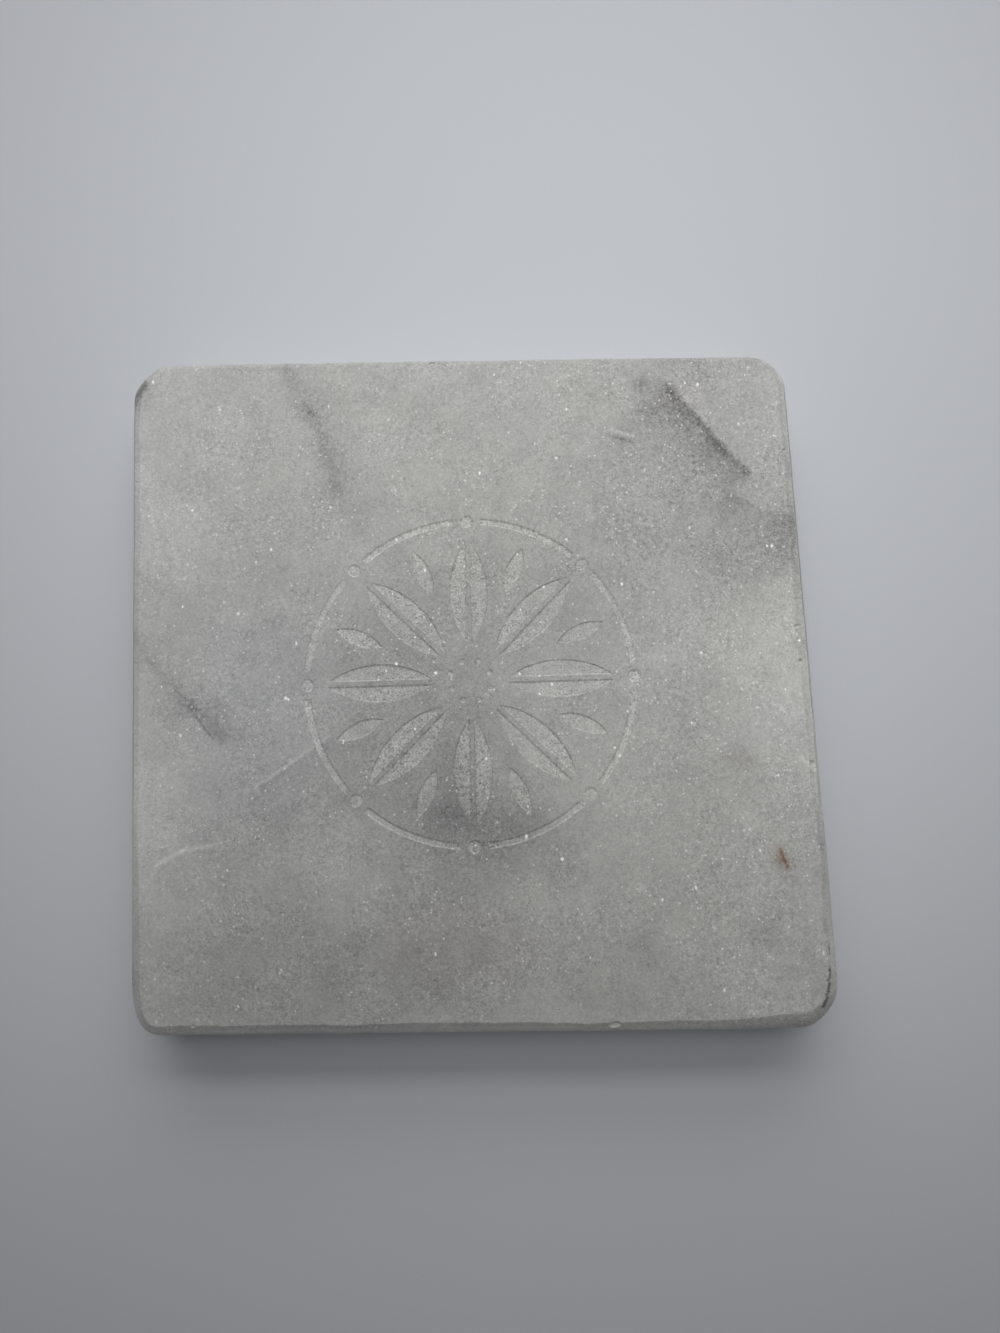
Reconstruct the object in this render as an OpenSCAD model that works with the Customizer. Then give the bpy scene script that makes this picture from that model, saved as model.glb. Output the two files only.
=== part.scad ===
// Square drink coaster: a honed marble tile with an engraved rosette,
// standing on four round rubber feet, each held by its own disc of adhesive.
// Millimetres. The origin is on the table, under the middle of the tile, and +Z is up.

/* [Tile] */
// Side of the square tile
tile_side = 100; // [90:1:120]
// Thickness of the stone
tile_thick = 10; // [6:0.5:15]
// Radius of the four upright corners
corner_r = 5.5; // [3:0.5:12]
// Width and drop of the bevel round the top
top_bevel = 1.5; // [0.5:0.1:2.5]
// Width and drop of the eased edge underneath
base_bevel = 0.6; // [0.2:0.1:1.5]

/* [Rosette] */
// Depth of the engraving
cut_depth = 0.2; // [0.1:0.05:0.8]
// Number of petals
petal_count = 8; // [5:1:10]
// Distance from the middle to a petal's inner tip
petal_start = 5; // [3.5:0.5:7]
// Length of a petal, from tip to tip
petal_long = 16; // [12:0.5:18]
// Width of a petal across its middle
petal_wide = 5.6; // [3:0.2:6]
// Width of the polished rib left down the middle of a petal
rib_wide = 0.6; // [0.3:0.1:1]
// Length of the small leaf between two petals
leaf_long = 7.4; // [4:0.2:8]
// Width of the small leaf
leaf_wide = 2.4; // [1:0.2:3]
// Polished gap between the petal tips and the ring round them
ring_gap = 2; // [1:0.5:4]
// Width of the broken ring
ring_wide = 1.1; // [0.5:0.1:2]
// Diameter of the dots that break the ring
ring_dot_d = 2; // [1.2:0.1:2.6]
// Polished gap on each side of a ring dot
dot_gap = 1; // [0.5:0.1:2]
// Diameter of the small dots round the middle
seed_d = 1; // [0.6:0.1:1.4]
// Distance from the middle to the small dots
seed_orbit = 3; // [2.6:0.1:3.2]

/* [Feet] */
// Diameter of a foot
foot_d = 12; // [8:0.5:18]
// Thickness of a foot
foot_thick = 2; // [1:0.1:4]
// Radius of the pressed rim where a foot meets the table
foot_rim_r = 0.4; // [0.1:0.05:0.8]
// Distance from the tile's sides to the middle of a foot
foot_inset = 15; // [10:0.5:20]
// Thickness of the adhesive disc
glue_thick = 0.2; // [0.1:0.05:0.5]
// How far the adhesive stays in from the foot's edge
glue_inset = 0.3; // [0:0.1:1]

/* [Hidden] */
$fn = 96;

// Each corner's name, and which way it lies from the middle: +X is right and +Y is back.
corners = [
    ["front_left", [-1, -1, 0]],
    ["front_right", [1, -1, 0]],
    ["back_left", [-1, 1, 0]],
    ["back_right", [1, 1, 0]]
];

// How far a cutter runs past the face that it cuts
overrun = 1;

tile_half = tile_side / 2;
tile_z = foot_thick + glue_thick;
// Where the straight sides end, and where the middle of a foot stands
corner_at = tile_half - corner_r;
foot_at = tile_half - foot_inset;
petal_end = petal_start + petal_long;
petal_turn = 360 / petal_count;
ring_in = petal_end + ring_gap;
ring_mid = ring_in + ring_wide / 2;
// Angle that a ring dot and its two gaps take out of the ring
dot_turn = 2 * asin((ring_dot_d / 2 + dot_gap) / ring_mid);

marble_tone = [0.72, 0.72, 0.70];
glue_tone = [0.86, 0.84, 0.76];
rubber_tone = [0.16, 0.16, 0.17];

// Half of the tile's outline seen edge on, from its middle out to the given reach.
function half_profile(reach) = [
    [0, 0],
    [reach - base_bevel, 0],
    [reach, base_bevel],
    [reach, tile_thick - top_bevel],
    [reach - top_bevel, tile_thick],
    [0, tile_thick]
];

// A bar from side to side, as long as the straight run between two corners.
module bar() {
    rotate([90, 0, 0])
        linear_extrude(height = 2 * corner_at, center = true) {
            polygon(half_profile(tile_half));
            mirror([1, 0]) polygon(half_profile(tile_half));
        }
}

// The tile before it is engraved: two crossed bars, and a puck with the same bevels in each corner.
module blank() {
    union() {
        bar();
        rotate(90) bar();
        for (corner = corners)
            translate(corner_at * corner[1])
                rotate_extrude() polygon(half_profile(corner_r));
    }
}

// A leaf shape along +X from the origin, with a point at each end.
module almond(long, wide) {
    arc_r = (long * long + wide * wide) / (4 * wide);
    translate([long / 2, 0])
        intersection() {
            translate([0, wide / 2 - arc_r]) circle(arc_r);
            translate([0, arc_r - wide / 2]) circle(arc_r);
        }
}

// A petal, split along its length by a polished rib.
module petal() {
    translate([petal_start, 0])
        difference() {
            almond(petal_long, petal_wide);
            translate([-overrun, -rib_wide / 2]) square([petal_long + 2 * overrun, rib_wide]);
        }
}

// One petal's share of the rosette, as a solid to cut with.
module rosette_share(height) {
    linear_extrude(height) petal();
    translate([ring_mid, 0]) cylinder(h = height, d = ring_dot_d);
    rotate(petal_turn / 2) {
        linear_extrude(height) translate([petal_end - leaf_long, 0]) almond(leaf_long, leaf_wide);
        translate([seed_orbit, 0]) cylinder(h = height, d = seed_d);
    }
    rotate(dot_turn / 2)
        rotate_extrude(angle = petal_turn - dot_turn)
            translate([ring_in, 0]) square([ring_wide, height]);
}

module marble_tile() {
    color(marble_tone)
        translate([0, 0, tile_z])
            difference() {
                blank();
                translate([0, 0, tile_thick - cut_depth])
                    for (i = [0 : petal_count - 1])
                        rotate(90 + i * petal_turn) rosette_share(cut_depth + overrun);
            }
}

module adhesive() {
    color(glue_tone)
        translate([0, 0, foot_thick]) cylinder(h = glue_thick, d = foot_d - 2 * glue_inset);
}

module foot() {
    rim_at = foot_d / 2 - foot_rim_r;
    color(rubber_tone)
        rotate_extrude() {
            square([rim_at, foot_thick]);
            translate([0, foot_rim_r]) square([foot_d / 2, foot_thick - foot_rim_r]);
            translate([rim_at, foot_rim_r]) circle(foot_rim_r);
        }
}

marble_tile();
for (corner = corners) {
    translate(foot_at * corner[1]) adhesive();
    translate(foot_at * corner[1]) foot();
}
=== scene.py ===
import math
import random

import bpy
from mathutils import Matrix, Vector, noise


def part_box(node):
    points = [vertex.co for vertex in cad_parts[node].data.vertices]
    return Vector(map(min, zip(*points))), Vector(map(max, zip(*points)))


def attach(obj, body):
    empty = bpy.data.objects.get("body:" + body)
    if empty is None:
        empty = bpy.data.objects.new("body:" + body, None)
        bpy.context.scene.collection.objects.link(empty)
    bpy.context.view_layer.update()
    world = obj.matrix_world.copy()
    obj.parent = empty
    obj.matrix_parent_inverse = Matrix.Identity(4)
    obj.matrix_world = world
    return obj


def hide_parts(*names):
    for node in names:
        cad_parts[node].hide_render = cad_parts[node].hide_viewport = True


# A square marble coaster with an engraved rosette, on four rubber feet.
# Lengths in the dictionaries are millimetres. +X is right, +Y is back, +Z is up.

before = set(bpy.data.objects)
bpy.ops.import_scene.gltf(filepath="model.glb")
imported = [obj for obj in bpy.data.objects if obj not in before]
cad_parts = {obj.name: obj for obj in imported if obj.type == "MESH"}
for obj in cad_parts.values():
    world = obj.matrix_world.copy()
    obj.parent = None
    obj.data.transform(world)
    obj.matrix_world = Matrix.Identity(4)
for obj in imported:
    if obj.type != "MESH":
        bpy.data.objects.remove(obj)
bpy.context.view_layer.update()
print("frame loaded:", len(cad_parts), "nodes")

mm = 0.001
slack = 0.01  # millimetres: points as near as this to a height or a line count as on it


def deselect():
    if bpy.context.object and bpy.context.object.mode != "OBJECT":
        bpy.ops.object.mode_set(mode="OBJECT")
    bpy.ops.object.select_all(action="DESELECT")


def choose(*pieces):  # makes these the only selected objects, the first one active
    deselect()
    for piece in pieces:
        piece.select_set(True)
    bpy.context.view_layer.objects.active = pieces[0]


def edit(piece):
    choose(piece)
    bpy.ops.object.mode_set(mode="EDIT")


def pickEdges(piece, wanted):  # leaves only the edges selected whose two ends, in millimetres, are wanted
    bpy.ops.mesh.select_mode(type="EDGE")
    bpy.ops.mesh.select_all(action="DESELECT")
    bpy.ops.object.mode_set(mode="OBJECT")
    points = piece.data.vertices
    for edge in piece.data.edges:
        a, b = (points[v].co / mm for v in edge.vertices)
        edge.select = wanted(a, b)
    bpy.ops.object.mode_set(mode="EDIT")


def pickFaces(piece, wanted):  # the same for faces, by their middle and their normal
    bpy.ops.mesh.select_mode(type="FACE")
    bpy.ops.mesh.select_all(action="DESELECT")
    bpy.ops.object.mode_set(mode="OBJECT")
    for face in piece.data.polygons:
        face.select = wanted(face.center / mm, face.normal)
    bpy.ops.object.mode_set(mode="EDIT")


def upright(a, b):  # whether an edge climbs from one of its ends to the other
    return abs(a.z - b.z) > slack


def settle(*pieces):  # puts each piece's place, turn and scale into its mesh
    choose(*pieces)
    bpy.ops.object.transform_apply(location=True, rotation=True, scale=True)


def joined(pieces, name):
    choose(*pieces)
    if len(pieces) > 1:
        bpy.ops.object.join()
    pieces[0].name = name
    return pieces[0]


def carve(piece, cutter):  # takes the cutter's shape out of the piece
    for mesh in (piece, cutter):  # flat triangles, so that no cut goes astray on a bent face
        edit(mesh)
        bpy.ops.mesh.select_all(action="SELECT")
        bpy.ops.mesh.quads_convert_to_tris()
        bpy.ops.mesh.normals_make_consistent(inside=False)
    deselect()
    modifier = piece.modifiers.new("carve", "BOOLEAN")
    modifier.object = cutter
    modifier.operation = "DIFFERENCE"
    modifier.solver = "EXACT"
    modifier.use_self = True
    choose(piece)
    bpy.ops.object.modifier_apply(modifier=modifier.name)
    bpy.data.objects.remove(cutter, do_unlink=True)


def copied(piece):
    made = piece.copy()
    made.data = piece.data.copy()
    bpy.context.scene.collection.objects.link(made)
    return made


def turned(piece, degrees):  # a whole piece, anticlockwise about the middle of the tile
    piece.rotation_euler.z = math.radians(degrees)
    settle(piece)
    return piece


# The camera hangs over the tile, a little to the front of its middle
camera = {
    "place": (4.85, -18.02, 155.61),
    "turn": (7.91, 0.46, -1.65),  # degrees
    "lens": 27.13,
    "sensor": 36,
    "clip": (0.005, 20),  # metres
}


def makeCamera():
    deselect()
    place = [v * mm for v in camera["place"]]
    bpy.ops.object.camera_add(location=place, rotation=[math.radians(v) for v in camera["turn"]])
    made = bpy.context.object
    made.data.lens = camera["lens"]
    made.data.sensor_width = camera["sensor"]
    made.data.clip_start, made.data.clip_end = camera["clip"]
    bpy.context.scene.camera = made


# Shader maths: a Wire is a node's output, and Python's operators add the nodes
class Wire:
    def __init__(self, finish, socket):
        self.finish = finish
        self.socket = socket

    def __add__(self, other):
        return self.finish.maths("ADD", self, other)

    def __radd__(self, other):
        return self.finish.maths("ADD", other, self)

    def __sub__(self, other):
        return self.finish.maths("SUBTRACT", self, other)

    def __rsub__(self, other):
        return self.finish.maths("SUBTRACT", other, self)

    def __mul__(self, other):
        return self.finish.maths("MULTIPLY", self, other)

    def __truediv__(self, other):
        return self.finish.maths("DIVIDE", self, other)

    def __pow__(self, other):
        return self.finish.maths("POWER", self, other)

    def __lt__(self, other):
        return self.finish.maths("LESS_THAN", self, other)


class Finish:
    def __init__(self, name):
        self.material = bpy.data.materials.new(name)
        self.material.use_nodes = True
        self.tree = self.material.node_tree
        self.surface = self.tree.nodes["Principled BSDF"]

    def feed(self, socket, value):
        if isinstance(value, Wire):
            self.tree.links.new(value.socket, socket)
        elif socket.type == "VECTOR" and isinstance(value, (int, float)):
            socket.default_value = (value, value, value)
        else:
            socket.default_value = value

    # Any node: its type, its settings, the values or links of its sockets, and the output wanted
    def node(self, kind, settings, sockets, output=0):
        made = self.tree.nodes.new("ShaderNode" + kind)
        for name, value in settings.items():
            setattr(made, name, value)
        for name, value in sockets.items():
            self.feed(made.inputs[name], value)
        return Wire(self, made.outputs[output])

    def isVector(self, value):
        if isinstance(value, Wire):
            return value.socket.type in ("VECTOR", "RGBA")
        return isinstance(value, (tuple, list, Vector))

    def maths(self, operation, *values):
        kind = "VectorMath" if any(self.isVector(v) for v in values) else "Math"
        return self.node(kind, {"operation": operation}, dict(enumerate(values)))

    def dot(self, a, b):
        return self.node("VectorMath", {"operation": "DOT_PRODUCT"}, {0: a, 1: b}, "Value")

    def length(self, a):
        return self.node("VectorMath", {"operation": "LENGTH"}, {0: a}, "Value")

    def clamp(self, value, low=0.0, high=1.0):
        return self.node("Clamp", {}, {"Value": value, "Min": low, "Max": high})

    def height(self, place):
        return self.node("SeparateXYZ", {}, {0: place}, "Z")

    # Goes smoothly from 0 to 1 while the value goes from one limit to the other
    def rise(self, value, start, end):
        sockets = {"Value": value, "From Min": start, "From Max": end}
        return self.node("MapRange", {"interpolation_type": "SMOOTHSTEP"}, sockets)

    def clouds(self, place, size, detail=2.0, roughness=0.5, output="Fac"):
        sockets = {"Vector": place, "Scale": 1 / size, "Detail": detail, "Roughness": roughness}
        return self.node("TexNoise", {}, sockets, output)

    # Pushes a place about, by up to half the reach
    def bend(self, place, size, reach, detail, roughness):
        return (self.clouds(place, size, detail, roughness, "Color") - (0.5, 0.5, 0.5)) * reach

    def cells(self, place, size, output):
        return self.node("TexVoronoi", {}, {"Vector": place, "Scale": 1 / size}, output)

    def mix(self, factor, a, b):
        return self.node("Mix", {"data_type": "RGBA"}, {0: factor, 6: a, 7: b}, 2)

    def set(self, sockets):
        for name, value in sockets.items():
            self.feed(self.surface.inputs[name], value)

    def relief(self, height):  # the height is in millimetres
        self.set({"Normal": self.node("Bump", {}, {"Height": height, "Distance": mm}, "Normal")})


def shade(red, green, blue):  # a screen colour from 0 to 255, as linear light
    return tuple(((v / 255 + 0.055) / 1.055) ** 2.4 for v in (red, green, blue)) + (1.0,)


# The tile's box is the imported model's
tileLow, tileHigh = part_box("marble_tile")
tile = {
    "half": tileHigh.x / mm,
    "base": tileLow.z / mm,
    "top": tileHigh.z / mm,
    "cornerRadius": 5.5,
    "cornerSteps": 16,
    "edgeSteps": 177,  # cuts in each straight edge, about two to the millimetre
    "sideSteps": 5,
    "weld": 0.0002,
    "smoothBelow": 32,  # degrees between two faces
    "level": 0.9999,  # a face counts as level from this height of its normal on
}

# The tile is sawn a little out of square. Places on it are written as on a true square, and each
# then keeps most of its distance from the middle, and leans with its distance along the other way
sawn = {"keep": (0.9842, 0.9793), "lean": -0.0161}


def sawTrue(piece):  # moves a mesh from the true square to the shape that was sawn
    keep, lean = sawn["keep"], sawn["lean"]
    for point in piece.data.vertices:
        x, y, z = point.co
        point.co = (keep[0] * x + lean * y, keep[1] * y + lean * x, z)
    return piece


# The marble. A streak or a line has two ends, a width and a strength, which is below 0 where it is
# darker than the stone, and a streak has a soft halo. A patch has a middle, two radii, a turn in
# degrees and a strength.
marble = {
    "warm": shade(167, 166.8, 165),
    "cool": shade(163.5, 164, 164.5),
    "olive": shade(165.5, 165.8, 161.2),
    "rose": shade(169, 166, 163),
    "rust": shade(112, 80, 64),
    # the near-white of the painted glints
    "glint": (0.95, 0.95, 0.94, 1),
    "lean": (0.45, -0.3),  # how far the veins move sideways for each millimetre down
    # The tone in the middle, darker partly by painted shade. The stone is lighter to all four sides, to the
    # left, to the back, and at the front right and back left corners
    "middle": 0.961,
    "sides": (0.056, 0.026),
    "corners": -0.109,
    "fall": (-0.049, 0.026),
    "clouds": [(32.0, 0.20), (13.0, 0.34), (5.5, 0.42), (2.2, 0.20)],  # size and contrast of each mottling
    # How the veins bend and fray, and how the crystals do: size, reach, detail and roughness
    "sway": (9.0, 5.0, 3, 0.6),
    "fray": (1.7, 1.6, 3, 0.7),
    "bent": (0.9, 0.5, 2, 0.5),
    "streaks": [
        ((-27.2, 50.5), (-22.6, 41.3), 1.0, -0.12),
        ((-22.6, 41.3), (-19.3, 29.5), 1.3, -0.22),
        ((-50.5, 9.2), (-46.3, 3.0), 0.7, -0.11),
        ((-46.3, 3.0), (-41.0, -3.8), 0.8, -0.14),
        ((-41.0, -3.8), (-37.4, -8.0), 0.9, -0.26),
        ((-50.5, 19.0), (-45.5, 13.6), 0.6, -0.12),
        ((-17.5, -17.2), (-3.0, -19.4), 2.4, -0.07),
        ((-3.0, -19.4), (10.0, -21.4), 2.8, -0.08),
    ],
    # Plumes lie to the right of a line, as one walks it, and fade away from it: a dark core over
    # the first length, a paler plume over the second. Start, end, core, length, plume, length
    "plumes": [
        ((31.6, 45.8), (43.6, 30.4), -0.38, 2.4, -0.31, 10.0),
        ((39.0, 28.6), (50.5, 22.9), -0.06, 1.5, -0.22, 6.0),
        ((-34.0, -17.0), (-20.0, -7.2), 0.00, 1.5, -0.12, 9.0),
    ],
    "lineDepth": (6.0, 2.0),  # the lines are gone at the first depth, and whole down to the second
    "lines": [  # healed cracks, most of them lighter than the stone, and dark marks along the arris
        # Painted shade: a dark crescent and its halo at the chipped back left corner
        ((-50.0, 43.0), (-48.0, 46.4), 0.6, -0.70),
        ((-49.0, 43.4), (-47.2, 46.6), 1.5, -0.12),
        ((-31.8, -15.2), (-26.3, -11.6), 0.24, 0.30),
        ((-26.3, -11.6), (-20.8, -7.8), 0.20, 0.24),
        ((-46.2, -26.2), (-42.3, -24.1), 0.34, 0.36),
        ((-42.3, -24.1), (-37.6, -23.3), 0.26, 0.30),
        ((-40.2, -4.9), (-37.8, -8.0), 0.20, -0.30),
        # Painted shade in the small chips along the arris at the front right
        ((48.9, -38.6), (48.9, -39.6), 0.14, -0.70),
        ((48.8, -41.6), (48.6, -42.8), 0.22, -0.95),
        ((48.5, -43.6), (48.2, -44.8), 0.24, -0.95),
        ((48.0, -45.6), (47.4, -46.8), 0.28, -0.95),
        ((20.4, 38.5), (16.6, 32.9), 0.16, 0.14),
        ((22.9, 38.1), (26.0, 37.1), 0.28, 0.40),
        # Painted shadow on the front side of the light flake above
        ((22.7, 37.2), (25.9, 36.2), 0.26, -0.30),
        ((25.7, 23.8), (28.2, 22.9), 0.22, 0.24),
        ((11.2, 49.5), (12.8, 44.5), 0.18, 0.14),
        ((47.2, -11.7), (49.4, -14.1), 0.32, 0.36),
    ],
    "patches": [
        ((-19.4, 35.5), (1.8, 5.0), -16, -0.12),
        ((28.3, 45.6), (1.5, 2.0), 20, -0.24),
        ((47.2, 20.4), (3.2, 4.2), -20, -0.20),
        ((38.5, 16.5), (6.0, 3.6), 0, -0.15),
        ((32.6, 45.0), (1.9, 1.2), -30, -0.22),
        ((40.9, 34.6), (2.2, 1.1), -50, -0.22),
        # these two are partly grey clouding and partly painted shade over the middle
        ((1.0, -22.0), (11.0, 8.0), -6, -0.33),
        ((-6.0, -5.0), (15.0, 15.0), 0, -0.27),
        ((2.0, 17.0), (17.0, 9.0), 0, -0.17),
        ((-4.0, -40.0), (16.0, 7.0), 0, -0.22),
        ((-32.0, -43.0), (14.0, 7.0), 10, -0.10),
        ((-47.0, -41.0), (5.0, 8.0), 0, 0.12),
        ((-50.0, 24.0), (11.0, 18.0), 0, 0.21),
        ((-50.0, -20.0), (10.0, 16.0), 0, 0.44),
        ((47.0, -2.0), (12.0, 15.0), 8, 0.38),
        ((48.0, -30.0), (18.0, 16.0), 0, 0.07),
        ((50.0, 44.0), (6.0, 20.0), 0, 0.22),
        ((41.8, -36.8), (2.6, 2.0), 20, -0.14),
        ((23.5, -39.5), (2.2, 1.8), 0, -0.14),
        ((38.6, -12.6), (3.4, 2.4), 20, -0.12),
        ((-33.2, 4.0), (2.4, 1.8), 0, -0.14),
        ((-29.0, 9.8), (2.0, 1.6), 0, -0.13),
    ],
    "tints": [  # patches that turn another colour: which, middle, radii, strength
        ("cool", (-34, -4), (15, 19), 0.7),
        ("rose", (-3, -38), (13, 7), 0.6),
        ("rose", (35, 43), (5, 3), 0.5),
        ("rust", (38.6, -12.6), (2.6, 1.6), 0.10),
    ],
    "rustSpot": ((43.3, -26.4), (1.3, 1.9), 15),
    "rustCrack": ((43.1, -24.9), (44.0, -27.5), 0.26),
    # The grain is made of three patterns
    "crystal": {"size": 0.62, "contrast": 0.12},
    "fine": {"size": 0.28, "contrast": 1.2},
    "worms": {"size": 0.55, "contrast": 0.45},
    "sugary": {"size": 7.0, "least": 0.72, "inPlaces": 0.5, "toRight": 0.3, "toBack": 0.12},
    # What frosts the stone inside the engraving, and the light painted on the bevels and sides
    "frost": {"grain": 1.2, "lighter": 0.34, "rougher": 0.25, "glints": 0.085},
    # How much light is painted on the bevels and sides, how much more in front, and how much less at the
    # corner below
    "paintedBevelLight": {"lighter": 0.25, "inFront": 0.15, "dimmerBevelCorner": 0.42},
    "dimmerBevelCorner": ((46.0, -49.5), (8.0, 5.0), 0),
    "roughness": 0.44,
    # Two kinds of painted glint, near-white spots in the colour: the size of its cells, the share of them
    # that stays dark, and how large it is in its cell. Below them, how much more common they are in some
    # places
    "sparkle": {"cell": 0.36, "dark": 0.93, "large": 0.44},
    "flake": {"cell": 1.1, "dark": 0.965, "large": 0.19},
    "richer": {"toRight": 0.024, "toBack": 0.008, "midway": 0.012, "sugary": 0.02},
}

rosette = {
    "depth": 0.14,  # the source has 0.2; the shadows allow 0.1 to 0.2, and 0.2 looks too deep
    "petals": 8,
    "petalStart": 5.0,
    "petalLong": 16.0,
    "petalWide": 5.6,
    "ribWide": 0.6,
    "leafLong": 7.4,
    "leafWide": 2.4,
    "ringGap": 2.0,
    "ringWide": 1.1,
    "ringDot": 2.0,
    "dotGap": 1.0,
    "seed": 1.0,
    "seedOrbit": 3.0,
    "flare": 0.28,  # how far the foot of each cut's sloping wall lies inside its outline
    "stand": 1.5,  # the slope goes on over the stone, to this many times its height
    "crumble": 0.05,
    "crumbleSize": 0.45,
    "arcPoints": 480,
    "dotPoints": 40,
    "ringSteps": 90,
    "weld": 0.002,
    "reach": 26.0,
}


def streak(finish, place, start, end, width):  # 1 on the line, falling away over its width
    a, b = Vector((*start, 0)), Vector((*end, 0))
    along = b - a
    away = place - tuple(a)
    share = finish.clamp(finish.dot(away, tuple(along / along.length_squared)))
    off = away - finish.node("VectorMath", {"operation": "SCALE"}, {0: tuple(along), "Scale": share})
    return finish.maths("EXPONENT", finish.length(off) ** 2.0 * (-1 / width ** 2))


def patch(finish, place, middle, radii, turn):  # 1 in the middle of an oval, falling away to its rim
    c, s = math.cos(math.radians(turn)), math.sin(math.radians(turn))
    away = place - (*middle, 0)
    u = finish.dot(away, (c / radii[0], s / radii[0], 0))
    v = finish.dot(away, (-s / radii[1], c / radii[1], 0))
    return finish.maths("EXPONENT", (u * u + v * v) * -1.0)


def plumed(finish, place, start, end, core, coreFade, plume, plumeFade):
    start, end = Vector(start), Vector(end)
    along = (end - start).normalized()
    away = place - (*start, 0)
    side = finish.dot(away, (-along.y, along.x, 0))  # above 0 on the crisp side of the line
    run = finish.dot(away, (*along, 0)) / (end - start).length
    taper = finish.clamp(1.2 - run, 0.3, 1.2)  # the core narrows towards its end
    near = finish.maths("EXPONENT", side / (taper * coreFade)) * core
    far = finish.maths("EXPONENT", side / plumeFade) * plume
    window = finish.rise(run, -0.08, 0.12) * finish.rise(run, 1.08, 0.94)
    return (near + far) * finish.rise(side, 0.5, -0.5) * window


# Painted glints, near-white in the colour, for lit cleavage faces: few are lit, each by its own amount and
# of its own size.
def glints(finish, place, kind, chance):
    dice = finish.cells(place, kind["cell"], "Color")
    lit = finish.rise(finish.height(dice) + chance, kind["dark"], 1.0)
    size = finish.dot(dice, (0, kind["large"], 0)) + kind["large"] * 0.5
    return lit * finish.rise(finish.cells(place, kind["cell"], "Distance") / size, 1.0, 0.4)


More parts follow.
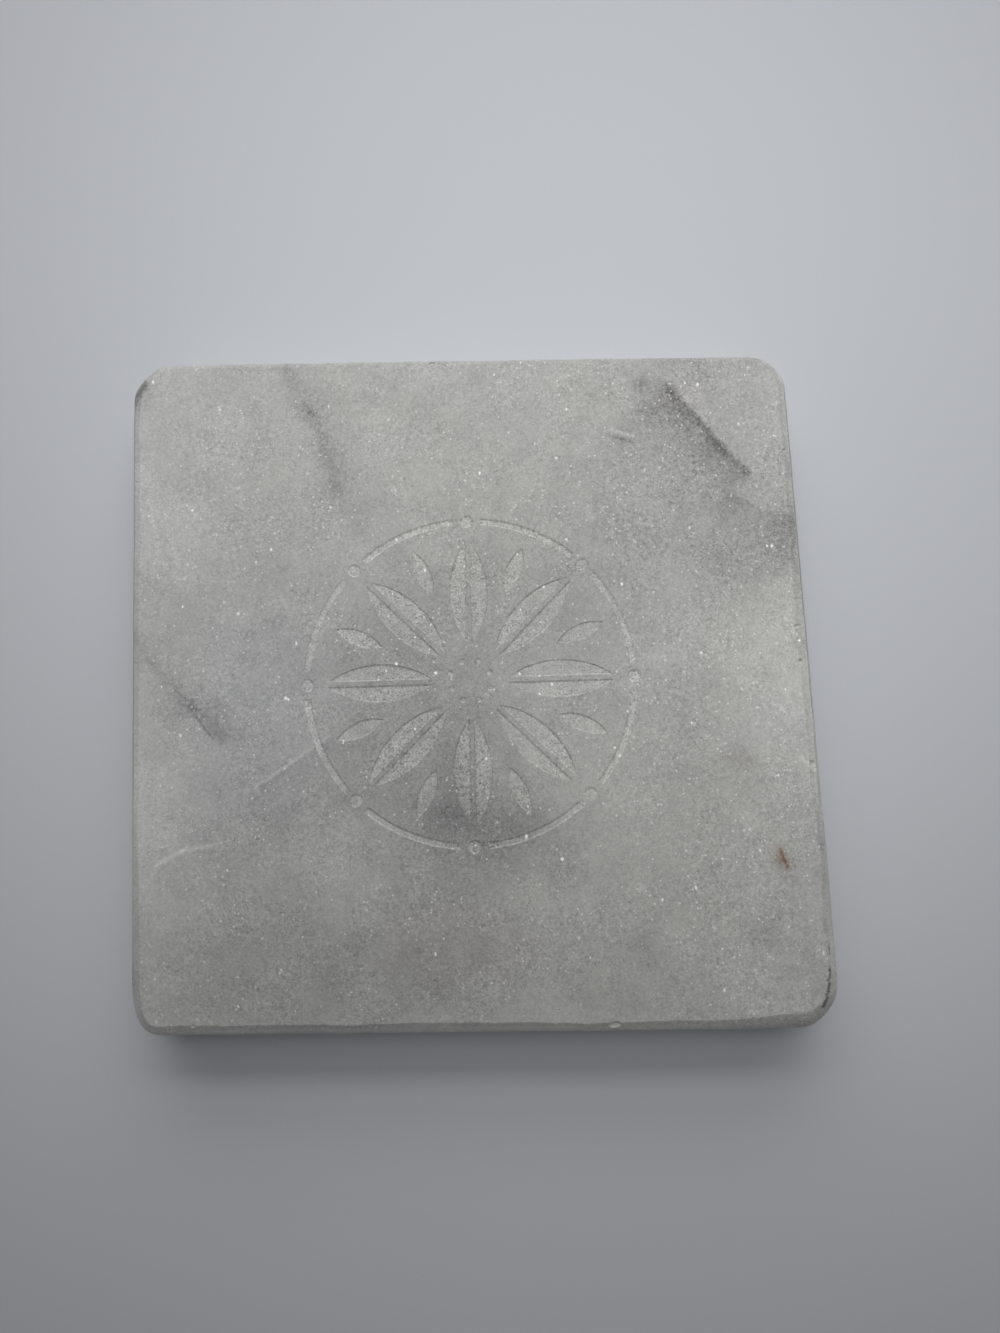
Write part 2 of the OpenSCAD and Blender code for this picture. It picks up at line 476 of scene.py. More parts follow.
def marbleFinish():
    f = Finish("marble")
    place = f.node("TexCoord", {}, {}, "Object") * (1 / mm)
    depth = tile["top"] - f.height(place)
    keep, lean = sawn["keep"], sawn["lean"]
    spread = keep[0] * keep[1] - lean ** 2
    acrossSquare = f.dot(place, (keep[1] / spread, -lean / spread, 0))
    upSquare = f.dot(place, (-lean / spread, keep[0] / spread, 0))
    onSquare = {0: acrossSquare, 1: upSquare}
    leaning = f.node("CombineXYZ", {}, {0: depth * marble["lean"][0], 1: depth * marble["lean"][1]})
    flat = f.node("CombineXYZ", {}, onSquare) + leaning
    sway, fray = f.bend(place, *marble["sway"]), f.bend(place, *marble["fray"])
    veined = (flat + sway * 0.5 + fray) * (1, 1, 0)
    drifting = (flat + sway * 1.8 + fray * 1.2) * (1, 1, 0)

    u, v = f.dot(flat, (1 / tile["half"], 0, 0)), f.dot(flat, (0, 1 / tile["half"], 0))
    tone = marble["middle"] + (u * marble["sides"][0] + v * marble["corners"] + marble["fall"][0]) * u
    tone = tone + (v * marble["sides"][1] + marble["fall"][1]) * v
    for size, contrast in marble["clouds"]:
        tone = (f.clouds(place, size, 3, 0.6) - 0.5) * contrast + tone
    for middle, radii, turn, strength in marble["patches"]:
        tone = tone + patch(f, drifting, middle, radii, turn) * strength
    veins = 0.0
    for plume in marble["plumes"]:
        veins = plumed(f, veined, *plume) + veins
    for start, end, width, strength in marble["streaks"]:
        core = streak(f, veined, start, end, width) * strength
        halo = streak(f, drifting, start, end, width * 3) * (strength * 0.4)
        veins = veins + core + halo
    patchy = 0.55 + f.clouds(place, 3.2, 4, 0.65) * 0.9  # the grey comes and goes along a vein
    tone = tone + veins * patchy
    lines = 0.0
    for start, end, width, strength in marble["lines"]:
        lines = streak(f, flat + fray * 0.35, start, end, width) * strength + lines
    tone = tone + lines * f.rise(depth, *marble["lineDepth"])

    # Sugary grain: interlocked crystals, each a little lighter or darker than the next
    bent = place + f.bend(place, *marble["bent"])
    crystal = f.height(f.cells(bent, marble["crystal"]["size"], "Color"))
    fine = f.clouds(place, marble["fine"]["size"], 3, 0.7)
    worms = f.clouds(bent, marble["worms"]["size"], 3, 0.6)
    # Coarse is 0 where the stone is smooth and 1 where it is sugary
    sugary = marble["sugary"]
    coarse = f.rise(f.clouds(place, sugary["size"], 2, 0.6), 0.38, 0.62)
    toRight = f.rise(u, 0.2, 0.8)
    sugar = coarse * sugary["inPlaces"] + sugary["least"]
    sugar = sugar + toRight * sugary["toRight"] + v * sugary["toBack"]
    grain = (crystal - 0.5) * marble["crystal"]["contrast"] + (fine - 0.5) * marble["fine"]["contrast"]
    grain = (grain + (worms - 0.5) * marble["worms"]["contrast"]) * sugar

    # Inside the engraving the stone is frosted: lighter, rougher, and with many more glints
    radius = f.length(place * (1, 1, 0))
    cut = f.rise(depth, 0.01, rosette["depth"] * 0.5) * (depth < 1.0) * (radius < rosette["reach"])
    frost = marble["frost"]
    tone = tone + grain * (1.0 + cut * frost["grain"]) + cut * frost["lighter"]

    # Painted light on the bevels and sides, which are made lighter: most in front, not at the left,
    # and less at the front right corner
    front = f.rise(v, -0.85, -0.98)
    toFront = front * 0.35 + f.rise(v, 0.0, -0.6) * 0.2
    paintedBevelLight = f.rise(depth, 0.05, 0.5) * (1.0 - cut) * f.rise(u + toFront, -0.95, -0.6)
    dimmerBevelCorner = patch(f, flat, *marble["dimmerBevelCorner"])
    share = marble["paintedBevelLight"]
    tone = tone + paintedBevelLight * (share["lighter"] + front * share["inFront"] - dimmerBevelCorner * share["dimmerBevelCorner"])

    tint = f.mix(f.rise(f.clouds(place, 22.0, 2), 0.45, 0.62), marble["warm"], marble["olive"])
    for colour, middle, radii, strength in marble["tints"]:
        tint = f.mix(patch(f, drifting, middle, radii, 0) * strength, tint, marble[colour])
    rusty = patch(f, flat + fray * 0.8, *marble["rustSpot"]) * (worms * 3.0 - 0.6)
    rusty = rusty * 0.6 + streak(f, flat + fray * 0.4, *marble["rustCrack"]) * 0.5
    tint = f.mix(f.clamp(rusty), tint, marble["rust"])

    # The glints are more common at the right, a little to the back, midway from front to back, where
    # the stone is sugary, and most of all in the engraving
    share = marble["richer"]
    richer = toRight * share["toRight"] + v * share["toBack"] - v * v * share["midway"]
    richer = richer + (coarse - 0.5) * share["sugary"] + cut * frost["glints"]
    sparkle = glints(f, place, marble["sparkle"], richer)
    flake = glints(f, bent * (1, 0.7, 1), marble["flake"], richer)
    # the painted glints, mixed into the colour below as near-white
    paintedGlint = f.clamp(sparkle * 0.5 + flake * 1.1)
    base = f.node("VectorMath", {"operation": "SCALE"}, {0: tint, "Scale": tone})
    f.set({
        "Base Color": f.mix(paintedGlint, base, marble["glint"]),
        "Roughness": f.clamp(
            marble["roughness"] + (fine - 0.5) * 0.3 + cut * frost["rougher"] - paintedGlint * 0.2, 0.15, 0.9
        ),
        "IOR": 1.49,
        "Subsurface Weight": 0.12,
        "Subsurface Radius": (1.0, 0.95, 0.85),
        "Subsurface Scale": 0.0012,
    })
    f.relief(grain * (0.02 + cut * 0.01) + f.clouds(place, 7.0, 2) * 0.02)
    return f.material


rubberLook = {
    "dark": (0.020, 0.020, 0.021, 1),
    "pale": (0.036, 0.036, 0.037, 1),
    "dust": (0.35, 0.34, 0.32, 1),
    "dusty": 0.35,
    "roughness": 0.72,
    "grain": 0.12,
    "mottle": 2.5,
}


def rubberFinish():
    f = Finish("rubber")
    place = f.node("TexCoord", {}, {}, "Object") * (1 / mm)
    grain = f.clouds(place, rubberLook["grain"], 4, 0.7)
    mottle = f.clouds(place, rubberLook["mottle"], 3, 0.6)
    dust = f.rise(f.clouds(place, 0.35, 2, 0.6), 0.66, 0.74) * f.rise(mottle, 0.45, 0.6)
    base = f.mix(f.rise(mottle, 0.3, 0.7), rubberLook["dark"], rubberLook["pale"])
    f.set({
        "Base Color": f.mix(dust * rubberLook["dusty"], base, rubberLook["dust"]),
        "Roughness": f.clamp(rubberLook["roughness"] + (grain - 0.5) * 0.3, 0.4, 0.95),
        "IOR": 1.52,
        "Specular IOR Level": 0.4,
    })
    f.relief(grain * 0.03)
    return f.material


adhesiveLook = {
    "pale": shade(216, 210, 192),
    "deep": shade(190, 183, 160),
    "roughness": 0.35,
    "mottle": 1.2,
}


def adhesiveFinish():
    f = Finish("adhesive")
    place = f.node("TexCoord", {}, {}, "Object") * (1 / mm)
    mottle = f.clouds(place, adhesiveLook["mottle"], 4, 0.6)
    f.set({
        "Base Color": f.mix(f.rise(mottle, 0.3, 0.7), adhesiveLook["pale"], adhesiveLook["deep"]),
        "Roughness": f.clamp(adhesiveLook["roughness"] + mottle * 0.3),
        "Subsurface Weight": 0.2,
        "Subsurface Scale": 0.0004,
    })
    f.relief(mottle * 0.02)
    return f.material


# How wide the hand-ground bevel is at each corner of the top, and how it is cut
bevel = {
    "frontLeft": 1.35,
    "frontRight": 1.5,
    "backLeft": 1.35,
    "backRight": 1.5,
    "backShare": 0.55,  # the back edge is ground less than the others, as far in as the reach
    "backReach": 4,
    "backEnds": 10,  # the higher, the nearer to its corners that holds
    "nominal": 1.5,
    "drop": 1.05,
    "leastDrop": 0.4,  # the share of the drop that stays where the bevel is narrow
    "facetWidthShare": 0.28,  # where the steep outer facet meets the shallow inner one
    "facetDropShare": 0.30,
    # Where the bevel is rounded over, those shares change and it drops more. That grows from the
    # middle to so far in front, and to a share of it at the left, from a line on and over a run
    "rounded": {
        "width": 0.27,
        "drop": -0.06,
        "more": 0.15,
        "front": 35,
        "left": (40, 6),
        "leftShare": 0.25,
    },
    "wider": {"spot": (43.5, -50.0), "reach": 5.5, "depth": 0.9},
    # How much each of these wavers, and over what length
    "broad": (0.25, 11),
    "narrow": (0.10, 2.6),
    "facetLine": (0.2, 2.0),
    "topLine": (0.06, 0.9),
    "baseLine": (0.2, 4.0),
    "lip": 0.25,  # a narrow strip of the flat top, inside the bevel
    "base": 0.6,
}

# How far the ground sides wander inwards from straight, and over what lengths. The side behind
# the front right corner is straighter, and three corners are ground away more or less than the rest
wander = {
    "long": 0.14,
    "longSize": 31.0,
    "short": 0.07,
    "shortSize": 3.4,
    "fine": 0.05,
    "fineSize": 0.8,
    "straight": {"spot": (50.0, -34.0), "reach": 15.0, "depth": 0.9},
    "corners": [
        {"spot": (48.4, -48.0), "reach": 3.2, "depth": 0.55},
        {"spot": (-47.5, -49.2), "reach": 2.0, "depth": -0.40},
        {"spot": (-49.9, -45.4), "reach": 2.0, "depth": 0.22},
        {"spot": (-48.3, 48.5), "reach": 3.0, "depth": 0.45},
    ],
}


def ripple(x, y, size, layer):  # smooth noise from -1 to 1, another one in each layer
    return noise.noise(Vector((x / size, y / size, layer)))


def waver(x, y, kind, layer):
    amount, size = kind
    return amount * ripple(x, y, size, layer)


def nearby(x, y, place):  # the depth of a place in its middle, falling away over its reach
    away = (x - place["spot"][0]) ** 2 + (y - place["spot"][1]) ** 2
    return place["depth"] * math.exp(-away / place["reach"] ** 2)


def bevelWidth(x, y):
    half = tile["half"]
    right, back = 0.5 + 0.5 * x / half, 0.5 + 0.5 * y / half
    front = bevel["frontLeft"] * (1 - right) + bevel["frontRight"] * right
    rear = bevel["backLeft"] * (1 - right) + bevel["backRight"] * right
    alongBack = max(0.0, 1 - (half - y) / bevel["backReach"])
    alongBack *= max(0.0, 1 - abs(x / half) ** bevel["backEnds"])
    width = (front * (1 - back) + rear * back) * (1 - alongBack * (1 - bevel["backShare"]))
    width *= 1 + waver(x, y, bevel["broad"], 4.0) + waver(x, y, bevel["narrow"], 7.0)
    return width + nearby(x, y, bevel["wider"])


def roundedOver(x, y):  # 1 at the front, where the bevel is rounded over, down to 0 at the back
    rounded = bevel["rounded"]
    start, run = rounded["left"]
    front = max(0.0, min(1.0, -y / rounded["front"]))
    left = rounded["leftShare"] * max(0.0, min(1.0, (-x - start) / run))
    return max(front, left)


def outwardAt(x, y):  # the way out of the nearest side, and how far inside the outline the point is
    core = tile["half"] - tile["cornerRadius"]
    out = Vector((x - max(-core, min(core, x)), y - max(-core, min(core, y))))
    if out.length == 0:
        return Vector((0, 0)), tile["half"]
    return out.normalized(), tile["cornerRadius"] - out.length


def roughOut():  # the sawn block, with the loops that the grinding below needs
    deselect()
    half, base, top = tile["half"], tile["base"], tile["top"]
    bpy.ops.mesh.primitive_cube_add(size=1, location=(0, 0, (base + top) / 2 * mm))
    slab = bpy.context.object
    slab.name = "marble_slab"
    slab.scale = (2 * half * mm, 2 * half * mm, (top - base) * mm)
    settle(slab)
    edit(slab)
    pickEdges(slab, upright)
    bpy.ops.mesh.bevel(offset=tile["cornerRadius"] * mm, segments=tile["cornerSteps"], affect="EDGES")
    pickEdges(slab, lambda a, b: (a - b).length > half)
    bpy.ops.mesh.subdivide(number_cuts=tile["edgeSteps"])
    pickEdges(slab, upright)
    bpy.ops.mesh.subdivide(number_cuts=tile["sideSteps"])
    pickFaces(slab, lambda middle, normal: middle.z > top - slack)
    facet = bevel["nominal"] * bevel["facetWidthShare"]
    for step in (facet, bevel["nominal"] - facet, bevel["lip"]):
        bpy.ops.mesh.inset(thickness=step * mm, depth=0)
    pickFaces(slab, lambda middle, normal: middle.z < base + slack)
    bpy.ops.mesh.inset(thickness=bevel["base"] * mm, depth=0)
    bpy.ops.mesh.inset(thickness=bevel["lip"] * mm, depth=0)
    deselect()
    return slab


def grind(slab):  # moves the loops to their places on the bevels, and lets the sides wander
    facet = bevel["nominal"] * bevel["facetWidthShare"]
    top, base = tile["top"], tile["base"]
    rounded, least = bevel["rounded"], bevel["leastDrop"]
    for point in slab.data.vertices:
        p = point.co / mm
        outward, inside = outwardAt(p.x, p.y)
        onTop, onBase = p.z > top - slack, p.z < base + slack
        if inside > bevel["nominal"] + bevel["lip"] + slack:
            continue
        edgeX, edgeY = p.x + outward.x * inside, p.y + outward.y * inside
        width, soft = bevelWidth(edgeX, edgeY), roundedOver(edgeX, edgeY)
        widthShare = bevel["facetWidthShare"] + rounded["width"] * soft
        dropShare = bevel["facetDropShare"] + rounded["drop"] * soft
        drop = bevel["drop"] * (least + (1 - least) * width / bevel["nominal"])
        drop *= 1 + rounded["more"] * soft
        shift = wander["long"] * (0.5 + 0.5 * ripple(edgeX, edgeY, wander["longSize"], 1.0))
        shift += wander["short"] * (0.5 + 0.5 * ripple(edgeX, edgeY, wander["shortSize"], 2.0 + p.z / 9))
        shift += wander["fine"] * (0.5 + 0.5 * ripple(edgeX, edgeY, wander["fineSize"], 3.0 + p.z / 2))
        shift *= 1 - nearby(edgeX, edgeY, wander["straight"])
        shift += sum(nearby(edgeX, edgeY, corner) for corner in wander["corners"])
        target = inside
        if onTop and inside < slack:
            p.z = top - drop
        elif onTop and inside < facet + slack:
            target = width * widthShare * (1 + waver(edgeX, edgeY, bevel["facetLine"], 5.0))
            p.z = top - drop * dropShare
        elif onTop and inside < bevel["nominal"] + slack:
            target = width + waver(edgeX, edgeY, bevel["topLine"], 6.0)
        elif onTop:
            target = width + bevel["lip"]
        elif onBase and inside < slack:
            p.z = base + bevel["base"] * (1 + waver(edgeX, edgeY, bevel["baseLine"], 8.0))
        elif not onBase:
            p.z = base + (p.z - base) * (1 - drop / (top - base))
        moved = outward * (inside - target - shift)
        point.co = Vector((p.x + moved.x, p.y + moved.y, p.z)) * mm


# Chips out of the arris and pits in the top: each has its place and its radius. The strewn ones
# take theirs by chance: chips are between the smallest and so much more, pits between two sizes
chips = {
    "placed": [
        (48.6, -41.8, 0.22), (48.3, -43.2, 0.28), (47.9, -45.2, 0.3), (18.1, -49.0, 0.75),
        (30.3, -49.2, 0.3), (-5.6, -48.9, 0.3),
        (49.0, -12.8, 0.55), (-48.4, 47.2, 0.6), (-49.3, 31.0, 0.35), (-20.0, 49.4, 0.35),
    ],
    "seed": 7,
    "strewn": 46,
    "strewnSizes": (0.12, 0.38),
    "strewnOver": 0.9,  # the share of each side that has chips
    "pits": [(-6.3, -33.8, 0.22), (22.0, -34.1, 0.26), (-19.4, -41.8, 0.16), (35.7, 44.0, 0.2)],
    "strewnPits": 40,
    "strewnPitSizes": (0.07, 0.17),
    "strewnPitsOver": 0.94,
    "stretch": (1.3, 0.9),
    "ragged": 0.28,
}


def chipAt(x, y, z, size, flat):
    deselect()
    place = (x * mm, y * mm, z * mm)
    bpy.ops.mesh.primitive_ico_sphere_add(subdivisions=2, radius=size * mm, location=place)
    made = bpy.context.object
    made.scale = (*chips["stretch"], flat)
    made.rotation_euler = (0, 0, math.atan2(x, -y) + math.pi * (abs(x) > abs(y)) * 0.5)
    settle(made)
    centre = Vector((x, y, z))
    for point in made.data.vertices:
        p = point.co / mm
        grown = 1 + chips["ragged"] * noise.noise(p * 1.7 / size * 0.5)
        point.co = (centre + (p - centre) * grown) * mm
    return made


def chipTools():
    dice = random.Random(chips["seed"])
    half, top, base = tile["half"], tile["top"], tile["base"]
    smallest, more = chips["strewnSizes"]
    reach, pitReach = chips["strewnOver"], chips["strewnPitsOver"]
    made = []
    for x, y, size in chips["placed"]:
        made.append(chipAt(x, y, top - 0.1, size, 0.6))
    for i in range(chips["strewn"]):
        side = dice.randrange(4)
        along = dice.uniform(-reach, reach) * half
        low = i % 3 == 0
        size = smallest + more * dice.random() ** 3
        onEdge = [(along, half), (along, -half), (half, along), (-half, along)][side]
        inward = half - (0.25 if low else bevelWidth(*onEdge))
        x, y = [(along, inward), (along, -inward), (inward, along), (-inward, along)][side]
        made.append(chipAt(x, y, base + 0.1 if low else top, size, 0.7))
    for x, y, size in chips["pits"]:
        made.append(chipAt(x, y, top + size * 0.3, size, 0.9))
    for i in range(chips["strewnPits"]):
        x, y = (dice.uniform(-pitReach, pitReach) * half for axis in range(2))
        size = dice.uniform(*chips["strewnPitSizes"])
        made.append(chipAt(x, y, top + size * 0.35, size, 0.8))
    return joined(made, "chip_tools")


makeCamera()


# The floor is pale and plain. Beyond what the photograph's camera sees, it fades into the backdrop
room = {
    "floor": shade(203, 206, 211),
    "roughness": 0.9,
    "shine": 0.2,
    "fade": (0.17, 0.50),  # metres from the middle
    "backdrop": (0.72, 0.74, 0.76, 1),
    "floorSide": 4.0,  # metres
    "ambient": 0.05,
    "ambientColour": (0.98, 0.99, 1.0),
}

# Soft oval lamps, so wide and so tall: each shines from its place towards its aim. Metres, watts
# and degrees. The two behind the tile are wide, so its shadow in front fades out at both ends
lamps = {
    "window": {
        "place": (0.0, 0.50, 0.30),
        "aim": (0.0, 0.05, 0),
        "size": (0.80, 0.28),
        "spread": 100,
        "power": 0.413,
    },
    "ceiling": {
        "place": (0.02, 0.30, 0.42),
        "aim": (0.0, 0.03, 0),
        "size": (1.00, 0.12),
        "spread": 110,
        "power": 0.355,
    },
    "overhead": {
        "place": (0.02, 0.06, 0.28),
        "aim": (0.02, 0.06, 0),
        "size": (0.20, 0.20),
        "spread": 70,
        "power": 0.069,
    },
}


def makeRoom():
    deselect()
    bpy.ops.mesh.primitive_plane_add(size=room["floorSide"], location=(0, 0, 0))
    floor = bpy.context.object
    floor.name = "floor"
    f = Finish("floor")
    f.set({"Base Color": room["floor"], "Roughness": room["roughness"]})
    f.set({"Specular IOR Level": room["shine"]})
    far = f.rise(f.length(f.node("TexCoord", {}, {}, "Object")), *room["fade"])
    viewed = f.node("LightPath", {}, {}, "Is Camera Ray")
    backdrop = f.node("Emission", {}, {"Color": room["backdrop"]})
    lit = Wire(f, f.surface.outputs[0])
    faded = f.node("MixShader", {}, {0: far * viewed, 1: lit, 2: backdrop})
    f.feed(f.tree.nodes["Material Output"].inputs["Surface"], faded)
    floor.data.materials.append(f.material)
    for name, lamp in lamps.items():
        bpy.ops.object.light_add(type="AREA", location=lamp["place"])
        made = bpy.context.object
        made.name = name
        made.data.shape = "ELLIPSE"
        made.data.size, made.data.size_y = lamp["size"]
        made.data.spread = math.radians(lamp["spread"])
        made.data.energy = lamp["power"]
        away = Vector(lamp["place"]) - Vector(lamp["aim"])
        made.rotation_euler = away.to_track_quat("Z", "Y").to_euler()
    world = bpy.data.worlds.new("studio")
    bpy.context.scene.world = world
    world.use_nodes = True
    tree = world.node_tree
    sky = tree.nodes["Background"]
    sky.inputs["Color"].default_value = (*room["ambientColour"], 1)
    sky.inputs["Strength"].default_value = room["ambient"]
    seen = tree.nodes.new("ShaderNodeBackground")
    seen.inputs["Color"].default_value = room["backdrop"]
    path = tree.nodes.new("ShaderNodeLightPath")
    shown = path.outputs["Is Camera Ray"]
    for kind in ("Is Glossy Ray", "Is Transmission Ray"):
        larger = tree.nodes.new("ShaderNodeMath")
        larger.operation = "MAXIMUM"
        tree.links.new(shown, larger.inputs[0])
        tree.links.new(path.outputs[kind], larger.inputs[1])
        shown = larger.outputs[0]
    either = tree.nodes.new("ShaderNodeMixShader")
    tree.links.new(shown, either.inputs[0])
    tree.links.new(sky.outputs[0], either.inputs[1])
    tree.links.new(seen.outputs[0], either.inputs[2])
    tree.links.new(either.outputs[0], tree.nodes["World Output"].inputs[0])
    bpy.context.scene.view_settings.view_transform = "Standard"


makeRoom()
print("room lit")

slab = roughOut()
grind(slab)
sawTrue(slab)
print("slab ground:", len(slab.data.vertices), "points")


def disc(radius, x, y, points):  # a flat round outline at the depth of the cut
    deselect()
    place = (x * mm, y * mm, (tile["top"] - rosette["depth"]) * mm)
    bpy.ops.mesh.primitive_circle_add(vertices=points, radius=radius * mm, fill_type="NGON", location=place)
    made = bpy.context.object
    settle(made)
    return made


def halfAlmond(long, wide, start, ribHalf, side):  # the part of a leaf outline on one side of its rib
    arc = (long * long + wide * wide) / (4 * wide)
    made = disc(arc, start + long / 2, side * (wide / 2 - arc), rosette["arcPoints"])
    edit(made)
    bpy.ops.mesh.select_all(action="SELECT")
    cut = {"plane_co": (0, side * ribHalf * mm, 0), "plane_no": (0, side, 0)}
    bpy.ops.mesh.bisect(**cut, clear_inner=True, threshold=rosette["weld"] * mm)
    deselect()
    return made


def raiseTool(outline, middle, span):  # stands a flat outline up as a cutter with sloping walls
    flare, stand = rosette["flare"], rosette["stand"]
    foot = [1 - 2 * flare / size for size in span]
    rim = [(size + 2 * (stand - 1) * flare) / (size - 2 * flare) for size in span]
    centre = [v * mm for v in (*middle, tile["top"])]
    edit(outline)
    bpy.ops.mesh.select_mode(type="FACE")
    bpy.ops.mesh.select_all(action="SELECT")
    bpy.ops.transform.resize(value=(*foot, 1), center_override=centre)
    wall = (0, 0, stand * rosette["depth"] * mm)
    bpy.ops.mesh.extrude_region_move(TRANSFORM_OT_translate={"value": wall})
    bpy.ops.transform.resize(value=(*rim, 1), center_override=centre)
    deselect()
    return outline


def petalTools():
    long, wide, rib = rosette["petalLong"], rosette["petalWide"], rosette["ribWide"]
    made = []
    for side in (1, -1):
        half = halfAlmond(long, wide, rosette["petalStart"], rib / 2, side)
        middle = (rosette["petalStart"] + long / 2, side * (wide + rib) / 4)
        made.append(raiseTool(half, middle, (long, (wide - rib) / 2)))
    return made


def leafTool():
    long, wide = rosette["leafLong"], rosette["leafWide"]
    start = rosette["petalStart"] + rosette["petalLong"] - long
    made = joined([halfAlmond(long, wide, start, 0, side) for side in (1, -1)], "leaf_tool")
    edit(made)
    bpy.ops.mesh.select_all(action="SELECT")
    bpy.ops.mesh.remove_doubles(threshold=rosette["weld"] * mm)
    bpy.ops.mesh.dissolve_limited()
    return raiseTool(made, (start + long / 2, 0), (long, wide))


def dotTool(orbit, across):
    return raiseTool(disc(across / 2, orbit, 0, rosette["dotPoints"]), (orbit, 0), (across, across))


def ringTool(middle):  # one arc of the ring, between two dots: a flared section, spun
    low, depth, wide = tile["top"] - rosette["depth"], rosette["depth"], rosette["ringWide"]
    flare, stand = rosette["flare"], rosette["stand"]
    gap = 2 * math.asin((rosette["ringDot"] / 2 + rosette["dotGap"]) / middle)
    deselect()
    bpy.ops.mesh.primitive_plane_add(size=mm, rotation=(math.pi / 2, 0, 0))
    tool = bpy.context.object
    tool.scale = (wide - 2 * flare, stand * depth, 1)
    tool.location = (middle * mm, 0, (low + stand * depth / 2) * mm)
    settle(tool)
    edit(tool)
    pickEdges(tool, lambda a, b: min(a.z, b.z) > low + depth / 2)
    grown = (wide + 2 * (stand - 1) * flare) / (wide - 2 * flare)
    bpy.ops.transform.resize(value=(grown, 1, 1), center_override=(middle * mm, 0, tile["top"] * mm))
    turned(tool, math.degrees(gap / 2))
    edit(tool)
    bpy.ops.mesh.select_all(action="SELECT")
    sweep = 2 * math.pi / rosette["petals"] - gap
    # Spin turns clockwise for a positive angle
    bpy.ops.mesh.spin(steps=rosette["ringSteps"], angle=-sweep, center=(0, 0, 0), axis=(0, 0, 1))
    bpy.ops.mesh.select_all(action="SELECT")
    bpy.ops.mesh.remove_doubles(threshold=rosette["weld"] * mm)
    deselect()
    return tool


def rosetteTools():
    share = 360 / rosette["petals"]
    petalEnd = rosette["petalStart"] + rosette["petalLong"]
    ringMiddle = petalEnd + rosette["ringGap"] + rosette["ringWide"] / 2
    between = [leafTool(), dotTool(rosette["seedOrbit"], rosette["seed"])]
    one = [*petalTools(), dotTool(ringMiddle, rosette["ringDot"]), ringTool(ringMiddle)]
    one += [turned(piece, share / 2) for piece in between]
    first = joined(one, "rosette_share")
    made = [first] + [turned(copied(first), share * i) for i in range(1, rosette["petals"])]
    tools = turned(joined(made, "rosette_tools"), 90)
    grainSize = rosette["crumbleSize"]
    for point in tools.data.vertices:  # the stone crumbles a little along every cut
        p = point.co / mm
        off = Vector((ripple(p.x, p.y, grainSize, p.z), ripple(p.x, p.y, grainSize, -p.z), 0))
        point.co += off * rosette["crumble"] * mm
    return tools


carve(slab, joined([rosetteTools(), sawTrue(chipTools())], "carving_tools"))
print("rosette engraved, chips out:", len(slab.data.vertices), "points")


def finishSlab(piece):
    edit(piece)
    bpy.ops.mesh.select_all(action="SELECT")
    bpy.ops.mesh.remove_doubles(threshold=tile["weld"] * mm)
    bpy.ops.mesh.normals_make_consistent(inside=False)
    choose(piece)
    bpy.ops.object.shade_smooth_by_angle(angle=math.radians(tile["smoothBelow"]))
    for face in piece.data.polygons:
        if abs(face.normal.z) > tile["level"]:
            face.use_smooth = False
    piece.data.materials.clear()
    piece.data.materials.append(marbleFinish())


finishSlab(slab)
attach(slab, "root")
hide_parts("marble_tile")

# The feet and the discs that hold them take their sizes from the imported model
foot = {
    "points": 96,
    "wallCuts": 3,
    "rim": 0.4,
    "rimSteps": 4,
    "shoulder": 0.12,
    "shoulderSteps": 2,
    "bulge": 0.10,
    "dish": 0.12,
    "dishInset": 1.6,
    "dishSlope": 0.5,
    "smoothBelow": 40,  # degrees between two faces
}


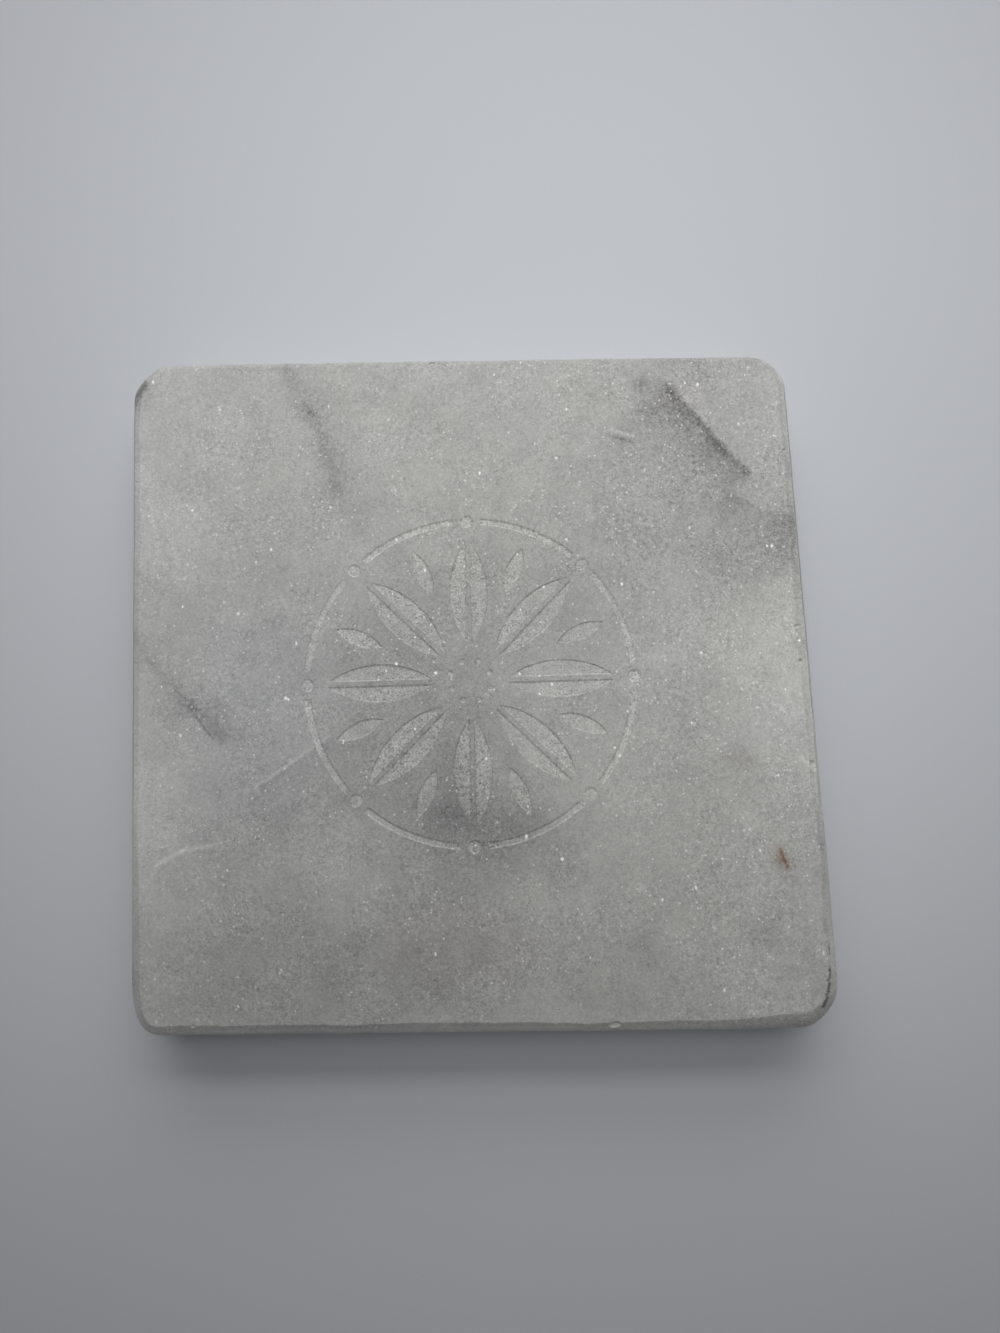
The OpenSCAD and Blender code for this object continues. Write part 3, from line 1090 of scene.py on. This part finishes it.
def footOn(corner):
    low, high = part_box("foot_" + corner)
    centre, radius, tall = (low + high) / 2, (high.x - low.x) / 2, high.z - low.z
    deselect()
    bpy.ops.mesh.primitive_cylinder_add(
        vertices=foot["points"],
        radius=radius - foot["bulge"] * mm,
        depth=tall,
        location=centre,
    )
    made = bpy.context.object
    made.name = "rubber_foot_" + corner
    settle(made)
    edit(made)
    pickEdges(made, upright)
    bpy.ops.mesh.subdivide(number_cuts=foot["wallCuts"])
    middleHeight = centre.z / mm
    pickEdges(made, lambda a, b: not upright(a, b) and abs(a.z - middleHeight) < slack)
    grow = radius / (radius - foot["bulge"] * mm)
    bpy.ops.transform.resize(value=(grow, grow, 1), center_override=centre)
    pickEdges(made, lambda a, b: max(a.z, b.z) < slack)
    bpy.ops.mesh.bevel(offset=foot["rim"] * mm, segments=foot["rimSteps"], affect="EDGES")
    pickEdges(made, lambda a, b: min(a.z, b.z) > high.z / mm - slack)
    steps = foot["shoulderSteps"]
    bpy.ops.mesh.bevel(offset=foot["shoulder"] * mm, segments=steps, affect="EDGES")
    pickFaces(made, lambda middle, normal: normal.z < -0.99)
    bpy.ops.mesh.inset(thickness=foot["dishInset"] * mm, depth=0)
    bpy.ops.mesh.inset(thickness=foot["dishSlope"] * mm, depth=-foot["dish"] * mm)
    choose(made)
    bpy.ops.object.shade_smooth_by_angle(angle=math.radians(foot["smoothBelow"]))
    return made


# An adhesive disc is pressed out a little unevenly
pressed = {"points": 120, "uneven": 0.012, "size": 1.3, "smoothBelow": 40}


def adhesiveOn(corner):
    low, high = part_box("adhesive_" + corner)
    centre, radius, tall = (low + high) / 2, (high.x - low.x) / 2, high.z - low.z
    deselect()
    points = pressed["points"]
    bpy.ops.mesh.primitive_cylinder_add(vertices=points, radius=radius, depth=tall, location=centre)
    made = bpy.context.object
    made.name = "adhesive_disc_" + corner
    settle(made)
    edit(made)
    pickEdges(made, upright)
    bpy.ops.mesh.subdivide(number_cuts=1)
    choose(made)
    wave = (pressed["uneven"], pressed["size"])
    for point in made.data.vertices:
        away = point.co - centre
        away.z = 0
        squeeze = waver(point.co.x / mm, point.co.y / mm, wave, point.co.z / mm) - pressed["uneven"]
        point.co += away * squeeze
    bpy.ops.object.shade_smooth_by_angle(angle=math.radians(pressed["smoothBelow"]))
    return made


rubber, adhesive = rubberFinish(), adhesiveFinish()
for corner in ("front_left", "front_right", "back_left", "back_right"):
    for piece, finish, slot, node in (
        (footOn(corner), rubber, "rubber", "foot_"),
        (adhesiveOn(corner), adhesive, "adhesive", "adhesive_"),
    ):
        piece.data.materials.append(finish)
        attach(piece, "root")
        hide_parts(node + corner)
print("feet fitted")
